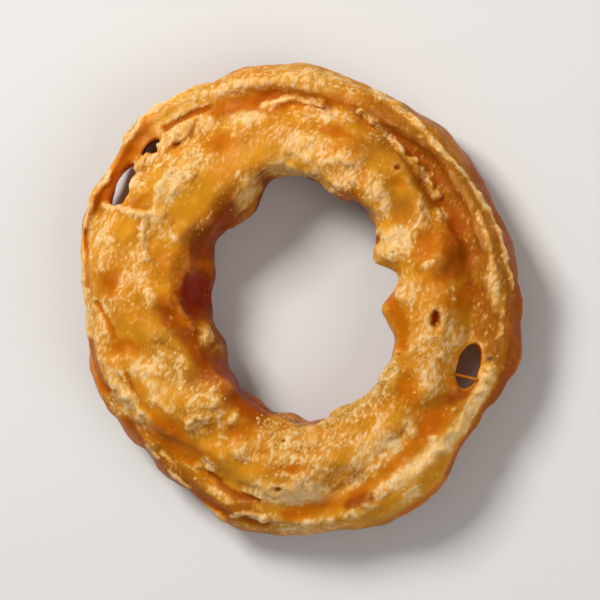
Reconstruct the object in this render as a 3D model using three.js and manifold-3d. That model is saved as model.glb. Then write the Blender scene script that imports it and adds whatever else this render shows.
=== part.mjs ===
// One battered, deep-fried calamari ring, lying flat with its better side up.
// Millimetres, +Z up. The origin is on the resting plane, under the middle of the ring's box.
// Angles round the ring run anticlockwise from +X, seen from above. Angles round its section start
// at the outer side: 90 degrees is the crown, 180 the wall of the hole and 270 the underside.
import * as THREE from "three";
import { ImprovedNoise } from "three/addons/math/ImprovedNoise.js";
import { mergeVertices } from "three/addons/utils/BufferGeometryUtils.js";
import Module from "manifold-3d";

const wasm = await Module();
wasm.setup();

// The three outlines of the ring, each a mean radius with a few slow waves round the turn, and with
// bulges and dents: the angle where each is, how far it goes out and how wide it is in degrees.
const OUTLINE = {
  mean: 32.1,
  waves: [[1, 0.7, 164], [2, 1.35, -128], [3, 0.28, 62]],
  bulges: [[-163, 1.8, 9], [-110, 0.9, 5], [-35, -2.5, 9], [132, 1.2, 10], [161, 1.6, 7.5]],
};
const CROWN_EDGE = {
  mean: 26.9,
  waves: [[1, 2.5, 178], [2, 0.5, -84], [3, 0.8, 160], [4, 0.4, 10]],
  bulges: [[-163, 1.6, 10], [-48, -1.9, 13], [163, 1.3, 9]],
};
const HOLE_EDGE = {
  mean: 15.9,
  waves: [[1, 0.5, 60], [2, 1.7, -179], [3, 0.22, -171]],
  bulges: [
    [-112, -1, 22], [-70, -0.8, 10], [-30, 1, 6], [-1, -0.8, 5], [12, 1.2, 5],
    [39, -1.4, 8], [106, 0.9, 8], [132, -0.6, 6], [152, 0.6, 6],
  ],
};

// The thick inner coil of batter, which the ring rests on.
const COIL_HEIGHT = { mean: 13.2, waves: [[1, 0.6, 150], [2, 0.4, 40]] };
const COIL_SHOULDER = 0.4; // how far the side bulges past the edge of the crown
// How square its section is on either side: 2 is round, less slopes, and more is boxy.
const COIL_SQUARENESS = { outer: { mean: 2.3, waves: [[1, 0.5, -160]] }, inner: { mean: 3.6, waves: [] } };
const COIL_STEPS = { round: 120, across: 24 };

// The thin outer lip, a layer that stands off the coil round the far side of the ring.
const LIP_THICKNESS = {
  mean: 3.75,
  waves: [[1, 1.35, 5], [2, 0.45, -149], [3, 0.4, -128]],
  bulges: [[-34, -1.4, 9]],
};
const LIP_TOP = { mean: 10.3, waves: [[1, 1.4, 40], [3, 0.5, 170], [5, 0.45, 60], [8, 0.25, 20]] };
const LIP_BOTTOM = { mean: 1.4, waves: [[1, 0.4, 20], [2, 0.3, 60], [5, 0.3, 150]] };
const LIP_LEAN = 0.08; // inward, for each millimetre of height
const LIP_BULGE = { mean: 0.9, waves: [[1, 0.6, -40]] }; // of its wall halfway up, past top and bottom
const LIP_TAPER = 0.3; // how much thinner it gets towards its top, as a share
const LIP_SQUARENESS = 2.8;
const LIP_STEPS = { round: 120, across: 10 };

// The sunken web of batter that joins lip and coil.
const WEB_TOP = { mean: 9.8, waves: [[1, 0.5, -50], [2, 0.6, -100]] };
const WEB_BOTTOM = { mean: 1.7, waves: [[1, 0.4, 155], [3, 0.3, 40]] };
const WEB_OVERLAP = 1.8; // how deep it is rooted in the coil and in the lip
const WEB_SQUARENESS = 4;
const WEB_STEPS = { round: 90, across: 8 };

// Holes that frying left in the web: where, how long and how wide.
const TEARS = [
  { at: -21, radius: 24.9, length: 7, width: 3.5, slant: 4 },
  { at: 147.6, radius: 30.5, length: 7.2, width: 2.8, slant: 7 },
  { at: 135, radius: 30.6, length: 3.8, width: 1.9, slant: -3 },
];

// Knobs of thicker crust: the angles where each stands, how far it stands proud and how wide it is.
const KNOBS = [
  { at: 70, section: 152, height: 2.1, spread: 2.2 },
  { at: 29, section: 150, height: 2.7, spread: 2.0 },
  { at: -3, section: 150, height: 1.9, spread: 2.6 },
  { at: -42, section: 140, height: 0.9, spread: 3.0 },
  { at: -128, section: 118, height: 1.7, spread: 2.6 },
  { at: 118, section: 184, height: 1.9, spread: 1.6 },
  { at: 161, section: 186, height: 1.3, spread: 1.8 },
  { at: -152, section: 192, height: 1.8, spread: 1.8 },
  { at: 150, section: 62, height: 1.0, spread: 2.0 },
  { at: -20, section: 80, height: 0.8, spread: 3.2 },
];

// Relief of the crust: blisters with creases between them, on a slower swell. The gain and the level
// bring a noise to about -1 to 1, and the shift sets the two noises apart.
const SWELL = { size: 13, depth: 0.8, gain: 1.8, shift: 3.1 };
const BLISTERS = { size: 5.6, depth: 0.6, gain: 3.2, level: 0.8, shift: 7.3 };
const WANDER = { size: 9, depth: 0.4, gain: 1.8, shift: 3.1 }; // of the lip alone, in and out

// The share of that relief that each part of the ring gets.
const RELIEF_SHARE = { coil: 1, underside: 0.55, lip: 0.7, web: 0.8 };
const UNDERSIDE_SINK = 0.35; // presses most of the underside flat on the resting plane

// The prism that cuts a tear. It has the tear's place at one level, and leans towards -X below that.
const TEAR_CUTTER = { height: 40, segments: 14, level: 8, lean: 11 };
const MERGE_TOLERANCE = 1e-4;

const TURN = Math.PI * 2;
const radians = THREE.MathUtils.degToRad;
const noise = new ImprovedNoise();

// How much of a bulge there is at an angle, from 0 far from it to 1 in its middle.
function nearness(theta, at, spread) {
  const turned = THREE.MathUtils.radToDeg(theta) - at;
  const apart = THREE.MathUtils.euclideanModulo(turned + 180, 360) - 180;
  return Math.exp(-0.5 * (apart / spread) ** 2);
}

// A slowly varying size, read at one angle round the ring.
function around({ mean, waves, bulges = [] }, theta) {
  const wave = ([count, depth, peak]) => depth * Math.cos(count * theta - radians(peak));
  const bulge = ([at, depth, spread]) => depth * nearness(theta, at, spread);
  return [...waves.map(wave), ...bulges.map(bulge)].reduce((sum, each) => sum + each, mean);
}

// The bare noise at a point.
function noiseAt(point, { size, shift }) {
  return noise.noise(point.x / size, point.y / size, point.z / size + shift);
}

// Relief with smooth hills and hollows.
function swelling(point, kind) {
  return kind.depth * kind.gain * noiseAt(point, kind);
}

// Relief with round tops and sharp creases, as blisters in batter have.
function blistering(point, kind) {
  return kind.depth * (kind.gain * Math.abs(noiseAt(point, kind)) - kind.level);
}

// How far the crust stands out at a point of the smooth surface.
function relief(point) {
  return swelling(point, SWELL) + blistering(point, BLISTERS);
}

// A point at a distance from the ring's axis, turned to its angle.
function polar(radius, theta, z) {
  return new THREE.Vector3(radius * Math.cos(theta), radius * Math.sin(theta), z);
}

// The outward direction of a round section at its own angle.
function outward(theta, phi) {
  return polar(Math.cos(phi), theta, Math.sin(phi));
}

// A power that keeps the sign of what it is taken of.
function signedPower(value, power) {
  return Math.sign(value) * Math.abs(value) ** power;
}

// The coil's squareness on the side that a section angle lies on.
function squareness(theta, phi) {
  return around(Math.cos(phi) < 0 ? COIL_SQUARENESS.inner : COIL_SQUARENESS.outer, theta);
}

// A superellipse of half-width and half-height 1, read in the direction of a section angle.
function superellipse(phi, power) {
  const [across, up] = [Math.cos(phi), Math.sin(phi)];
  const size = (Math.abs(across) ** power + Math.abs(up) ** power) ** (-1 / power);
  return { across: across * size, up: up * size };
}

// The smooth surface of the coil, whose section is a superellipse.
function coilSurface(theta, phi) {
  const outer = around(CROWN_EDGE, theta) + COIL_SHOULDER;
  const inner = around(HOLE_EDGE, theta);
  const half = around(COIL_HEIGHT, theta) / 2;
  const { across, up } = superellipse(phi, squareness(theta, phi));
  return polar((outer + inner) / 2 + ((outer - inner) / 2) * across, theta, half * (1 + up));
}

// The direction that the coil's smooth surface faces.
function coilOutward(theta, phi) {
  const power = squareness(theta, phi) - 1;
  return polar(signedPower(Math.cos(phi), power), theta, signedPower(Math.sin(phi), power)).normalize();
}

// The smooth surface of the lip, a thin upright section that leans in over the web.
function lipSurface(theta, phi) {
  const [top, bottom] = [around(LIP_TOP, theta), around(LIP_BOTTOM, theta)];
  const { across, up } = superellipse(phi, LIP_SQUARENESS);
  const rise = ((top - bottom) / 2) * up;
  const thick = around(LIP_THICKNESS, theta) * (1 - LIP_TAPER * up);
  const middle = around(OUTLINE, theta) - thick / 2 - LIP_LEAN * rise - around(LIP_BULGE, theta) * up ** 2;
  return polar(middle + (thick / 2) * across, theta, (top + bottom) / 2 + rise);
}

// The web runs from inside the coil to inside the lip.
function webSurface(theta, phi) {
  const inner = around(CROWN_EDGE, theta) - WEB_OVERLAP;
  const outer = around(OUTLINE, theta) - WEB_OVERLAP;
  const { across, up } = superellipse(phi, WEB_SQUARENESS);
  const [top, bottom] = [around(WEB_TOP, theta), around(WEB_BOTTOM, theta)];
  const z = (top + bottom) / 2 + ((top - bottom) / 2) * up;
  return polar((outer + inner) / 2 + ((outer - inner) / 2) * across, theta, z);
}

// How far all the knobs together push out a point of the coil.
function knobs(point) {
  return KNOBS.reduce((sum, { at, section, height, spread }) => {
    const apart = point.distanceTo(coilSurface(radians(at), radians(section)));
    return sum + height * Math.exp(-0.5 * (apart / spread) ** 2);
  }, 0);
}

// The finished coil: relief and knobs stand out of it, and its underside is pressed flat.
function crustedCoil(theta, phi) {
  const point = coilSurface(theta, phi);
  const under = Math.max(0, -Math.sin(phi)) ** 2;
  const share = THREE.MathUtils.lerp(RELIEF_SHARE.coil, RELIEF_SHARE.underside, under);
  point.addScaledVector(coilOutward(theta, phi), relief(point) * share + knobs(point));
  point.z = Math.max(0, point.z - UNDERSIDE_SINK * under);
  return point;
}

// The finished lip: it has some relief, and wanders in and out round the turn.
function crustedLip(theta, phi) {
  const point = lipSurface(theta, phi);
  const wander = swelling(polar(OUTLINE.mean, theta, 0), WANDER);
  point.addScaledVector(outward(theta, phi), RELIEF_SHARE.lip * relief(point));
  return point.add(polar(wander, theta, 0));
}

// The finished web: its relief is up and down only, as its edges are inside the other two.
function crustedWeb(theta, phi) {
  const point = webSurface(theta, phi);
  point.z += RELIEF_SHARE.web * relief(point) * Math.sin(phi);
  return point;
}

// A torus whose every point is moved to where a surface function puts it.
function sculptedTorus(surface, steps) {
  const torus = new THREE.TorusGeometry(2, 1, steps.across, steps.round);
  const { position, uv } = torus.attributes;
  for (let i = 0; i < position.count; i++) {
    const point = surface((uv.getX(i) % 1) * TURN, (uv.getY(i) % 1) * TURN);
    position.setXYZ(i, point.x, point.y, point.z);
  }
  return torus;
}

// A leaning oval prism that cuts one tear through the web.
function tearCutter({ at, radius, length, width, slant }) {
  const centre = polar(radius, radians(at), 0);
  const oval = new THREE.Shape();
  oval.absellipse(centre.x, centre.y, length / 2, width / 2, 0, TURN, false, radians(at + 90 + slant));
  const { height, segments, level, lean } = TEAR_CUTTER;
  const extrusion = { depth: height, bevelEnabled: false, curveSegments: segments };
  const leaning = new THREE.Matrix4().makeShear(0, 0, 0, 0, Math.tan(radians(lean)), 0);
  const prism = new THREE.ExtrudeGeometry(oval, extrusion).translate(0, 0, -height / 2);
  return prism.applyMatrix4(leaning).translate(0, 0, level);
}

// A geometry as a solid that can be joined and cut.
function solidOf(geometry) {
  const bare = geometry.clone().deleteAttribute("normal").deleteAttribute("uv");
  const merged = mergeVertices(bare, MERGE_TOLERANCE);
  const vertProperties = new Float32Array(merged.attributes.position.array);
  const triVerts = new Uint32Array(merged.index.array);
  return new wasm.Manifold(new wasm.Mesh({ numProp: 3, vertProperties, triVerts }));
}

// A solid as a geometry again.
function geometryOf(solid) {
  const mesh = solid.getMesh();
  const geometry = new THREE.BufferGeometry();
  geometry.setAttribute("position", new THREE.BufferAttribute(new Float32Array(mesh.vertProperties), 3));
  geometry.setIndex(new THREE.BufferAttribute(new Uint32Array(mesh.triVerts), 1));
  geometry.computeVertexNormals();
  return geometry;
}

// A solid without the bubbles that its parts enclose between them.
function filled(solid) {
  return solid.decompose().sort((a, b) => b.volume() - a.volume())[0];
}

// The whole ring: coil, lip and web fused, and the tears cut.
function ringGeometry() {
  const coil = solidOf(sculptedTorus(crustedCoil, COIL_STEPS));
  const lip = solidOf(sculptedTorus(crustedLip, LIP_STEPS));
  const web = solidOf(sculptedTorus(crustedWeb, WEB_STEPS));
  const fused = coil.add(web).add(lip);
  const torn = TEARS.reduce((solid, tear) => solid.subtract(solidOf(tearCutter(tear))), fused);
  const geometry = geometryOf(filled(torn));
  geometry.computeBoundingBox();
  const centre = geometry.boundingBox.getCenter(new THREE.Vector3());
  return geometry.translate(-centre.x, -centre.y, 0);
}

const friedBatter = new THREE.MeshStandardMaterial({
  name: "fried_batter",
  color: 0xd9973f,
  roughness: 0.5,
  metalness: 0,
});

const ring = new THREE.Mesh(ringGeometry(), friedBatter);
ring.name = "calamari_ring";

const calamari = new THREE.Group();
calamari.add(ring);

export default calamari;
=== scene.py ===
"""Dresses one battered, deep-fried calamari ring, lying flat with its better side up.

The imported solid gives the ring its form. A finer skin is grown over that solid, and the batter is
sculpted and coloured in the skin: smooth windows of thin batter, sunken pockets, raised crust,
ridges, creases and pits, each where the real ring has it. Lengths are in millimetres until a mesh is
written, which is in metres. Places on the better side are read as one looks down on it, leaning a
little to the right: millimetres to the right of the ring's middle and up from it.
"""
from __future__ import annotations

import logging
import math
from dataclasses import dataclass
from enum import Enum
from functools import partial
from itertools import product
from typing import Any, Callable, NamedTuple

import bpy
import numpy as np
from bpy.types import Material, Mesh, NodeTree, Object
from mathutils import Matrix, Vector

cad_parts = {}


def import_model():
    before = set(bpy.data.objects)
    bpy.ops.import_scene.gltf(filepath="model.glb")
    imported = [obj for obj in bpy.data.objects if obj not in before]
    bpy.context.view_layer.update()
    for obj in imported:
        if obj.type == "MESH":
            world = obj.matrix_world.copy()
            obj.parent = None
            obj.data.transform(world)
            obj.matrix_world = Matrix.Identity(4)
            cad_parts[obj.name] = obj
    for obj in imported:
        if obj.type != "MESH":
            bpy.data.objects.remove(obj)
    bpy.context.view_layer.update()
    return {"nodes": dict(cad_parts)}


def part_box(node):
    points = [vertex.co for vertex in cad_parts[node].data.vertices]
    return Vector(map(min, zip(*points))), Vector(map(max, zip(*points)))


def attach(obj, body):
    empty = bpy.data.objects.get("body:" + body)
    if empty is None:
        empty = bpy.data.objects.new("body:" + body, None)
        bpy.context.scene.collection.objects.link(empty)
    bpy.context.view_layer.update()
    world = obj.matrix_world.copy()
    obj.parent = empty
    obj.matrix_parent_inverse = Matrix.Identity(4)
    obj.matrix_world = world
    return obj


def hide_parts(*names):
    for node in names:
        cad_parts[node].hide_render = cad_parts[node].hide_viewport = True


LOG = logging.getLogger("calamari")
MM = 0.001
RING_NODE = "calamari_ring"
WELD = 1e-7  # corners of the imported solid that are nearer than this, in metres, are one corner

Points = np.ndarray  # a row of coordinates, or of red, green and blue, for each point
Values = np.ndarray  # a number for each point
Box = tuple[Points, Points]  # the lowest and the highest corner, in millimetres
Socket = bpy.types.NodeSocket
AddNode = Callable[..., Socket]


def linear(hex_colour: str) -> tuple[float, float, float, float]:
    """Turns an sRGB hex colour into the linear one that a shader takes.

    Args:
        hex_colour: The colour, such as "#D8B056".

    Returns:
        Red, green, blue and an alpha of 1.
    """
    shares = [int(hex_colour[i : i + 2], 16) / 255 for i in (1, 3, 5)]
    turned = [c / 12.92 if c <= 0.04045 else ((c + 0.055) / 1.055) ** 2.4 for c in shares]
    return (*turned, 1)


def smooth_step(low: float, high: float, values: Values) -> Values:
    """Rises smoothly from 0 at low to 1 at high, or falls if high is the smaller."""
    share = np.clip((values - low) / (high - low), 0, 1)
    return share * share * (3 - 2 * share)


def mixed(colours: Points, hex_colour: str, share: Values) -> Points:
    """Mixes a share of one sRGB hex colour into the linear colour of each point."""
    goal = np.array(linear(hex_colour)[:3])
    return colours + (goal - colours) * share[:, None]


@dataclass
class Noise:
    """Seeded noise in three dimensions, read at many points at once."""

    seed: int
    table: int = 256
    hill_gain: float = 1.7
    bead_reach: float = 0.75

    def __post_init__(self) -> None:
        """Draws the tables that the noise is made of."""
        rng = np.random.default_rng(self.seed)
        self.order = np.tile(rng.permutation(self.table), 2)
        slopes = rng.normal(size=(self.table, 3))
        self.slopes = slopes / np.linalg.norm(slopes, axis=1, keepdims=True)
        self.jitter = rng.random((self.table, 3))

    def _draw(self, cells: np.ndarray) -> np.ndarray:
        """Gives each lattice cell its own row of the tables."""
        x, y, z = (cells % self.table).T
        return self.order[self.order[self.order[x] + y] + z]

    def hills(self, points: Points, size: float) -> Values:
        """Draws smooth hills.

        Args:
            points: Where the noise is read.
            size: About how wide a hill is.

        Returns:
            The height at each point, from about -1 to 1.
        """
        scaled = points / size
        cells = np.floor(scaled).astype(int)
        part = scaled - cells
        fade = part**3 * (part * (part * 6 - 15) + 10)
        total = np.zeros(len(points))
        for corner in product((0, 1), repeat=3):
            offset = np.array(corner)
            slope = self.slopes[self._draw(cells + offset)]
            share = np.where(offset, fade, 1 - fade).prod(axis=1)
            total += share * (slope * (part - offset)).sum(axis=1)
        return self.hill_gain * total

    def beads(self, points: Points, size: float) -> Values:
        """Draws round beads packed side by side.

        Args:
            points: Where the noise is read.
            size: About how wide a bead is.

        Returns:
            The height at each point, from -0.5 between the beads to 0.5 on top of one.
        """
        scaled = points / size
        cells = np.floor(scaled).astype(int)
        nearest = np.full(len(points), np.inf)
        for step in product((-1, 0, 1), repeat=3):
            cell = cells + np.array(step)
            seed = cell + self.jitter[self._draw(cell)]
            nearest = np.minimum(nearest, ((scaled - seed) ** 2).sum(axis=1))
        return 0.5 - np.clip(nearest / self.bead_reach, 0, 1)


@dataclass(frozen=True)
class Look:
    """How one kind of batter looks: its colour, and how densely pale crust stands on it."""

    colour: str
    crust: float


class Batter(Enum):
    """The kinds of batter that a part of the ring can be."""

    CRUST = Look("#D28C22", 0.85)
    GOLDEN = Look("#CC8018", 0.58)
    WINDOW = Look("#D48E1A", 0.24)
    AMBER = Look("#C26400", 0.04)
    STRAW = Look("#B8801E", 0.8)
    TAN = Look("#A05C12", 0.24)
    BROWN = Look("#9C4400", 0.08)
    RUST = Look("#983A00", 0.06)
    PALE = Look("#E2A844", 1)
    CREAM = Look("#EABE76", 1)
    DARK = Look("#902400", 0)
    SQUID_SKIN = Look("#4E4A54", 0)


CRUST, GOLDEN, WINDOW, AMBER, STRAW, TAN, BROWN, RUST, PALE, CREAM, DARK, SQUID_SKIN = Batter

# How far out a patch or a band ends, and how far out it is still whole, in its own half widths.
PATCH_EDGE = (1.6, 0.35)
BAND_EDGE = (1.5, 0.35)


@dataclass(frozen=True)
class Patch:
    """An oval of one kind of batter, turned by an angle in degrees, with a soft ragged edge."""

    kind: Batter
    right: float
    up: float
    length: float
    width: float
    turn: float = 0.0
    rise: float = 0.0

    def cover(self, seen: Points, ragged: Values) -> Values:
        """How much of the patch lies on each point.

        Args:
            seen: The points' places as one looks down on the ring.
            ragged: How far the edge is pushed in or out at each point, in millimetres.

        Returns:
            From 0 outside the patch to 1 inside it.
        """
        angle = math.radians(self.turn)
        along, across = seen[:, 0] - self.right, seen[:, 1] - self.up
        first = (along * math.cos(angle) + across * math.sin(angle)) / (self.length / 2)
        second = (across * math.cos(angle) - along * math.sin(angle)) / (self.width / 2)
        edge = np.hypot(first, second) + ragged / (0.5 * min(self.length, self.width))
        return smooth_step(*PATCH_EDGE, edge)


@dataclass(frozen=True)
class Band:
    """A strip of one kind of batter along a line of points, raised as a ridge or sunk as a crease."""

    kind: Batter
    line: tuple[tuple[float, float], ...]
    width: float
    rise: float = 0.0

    def cover(self, seen: Points, ragged: Values) -> Values:
        """How much of the band lies on each point.

        Args:
            seen: The points' places as one looks down on the ring.
            ragged: How far the edge is pushed in or out at each point, in millimetres.

        Returns:
            From 0 outside the band to 1 along its line.
        """
        nearest = np.full(len(seen), np.inf)
        for start, end in zip(self.line, self.line[1:]):
            a, step = np.array(start), np.subtract(end, start)
            share = np.clip(((seen - a) @ step) / (step @ step), 0, 1)
            nearest = np.minimum(nearest, np.linalg.norm(seen - a - share[:, None] * step, axis=1))
        return smooth_step(*BAND_EDGE, (nearest + 0.7 * ragged) / (self.width / 2))


@dataclass(frozen=True)
class Tear:
    """A hole that frying tore in the skin, which leans as one looks down on it."""

    x: float
    y: float
    reach: float
    lean: float = 0.19
    level: float = 8.0

    def wall(self, points: Points, normals: Points) -> Values:
        """How much each point is on the tear's own wall, which is thin and lets the light through.

        Args:
            points: The skin's points.
            normals: The directions that they face.

        Returns:
            From 0 where the tear is far or the skin faces away from it, to 1 on its wall.
        """
        middle = np.full((len(points), 2), (self.x, self.y))
        middle[:, 0] += self.lean * (points[:, 2] - self.level)
        inward = middle - points[:, :2]
        away = np.linalg.norm(inward, axis=1)
        faces = (inward * normals[:, :2]).sum(axis=1) / away
        near = smooth_step(self.reach + 1, self.reach - 0.5, away)
        upright = smooth_step(0.6, 0.2, normals[:, 2])
        return near * upright * smooth_step(0, 0.4, faces)


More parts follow.
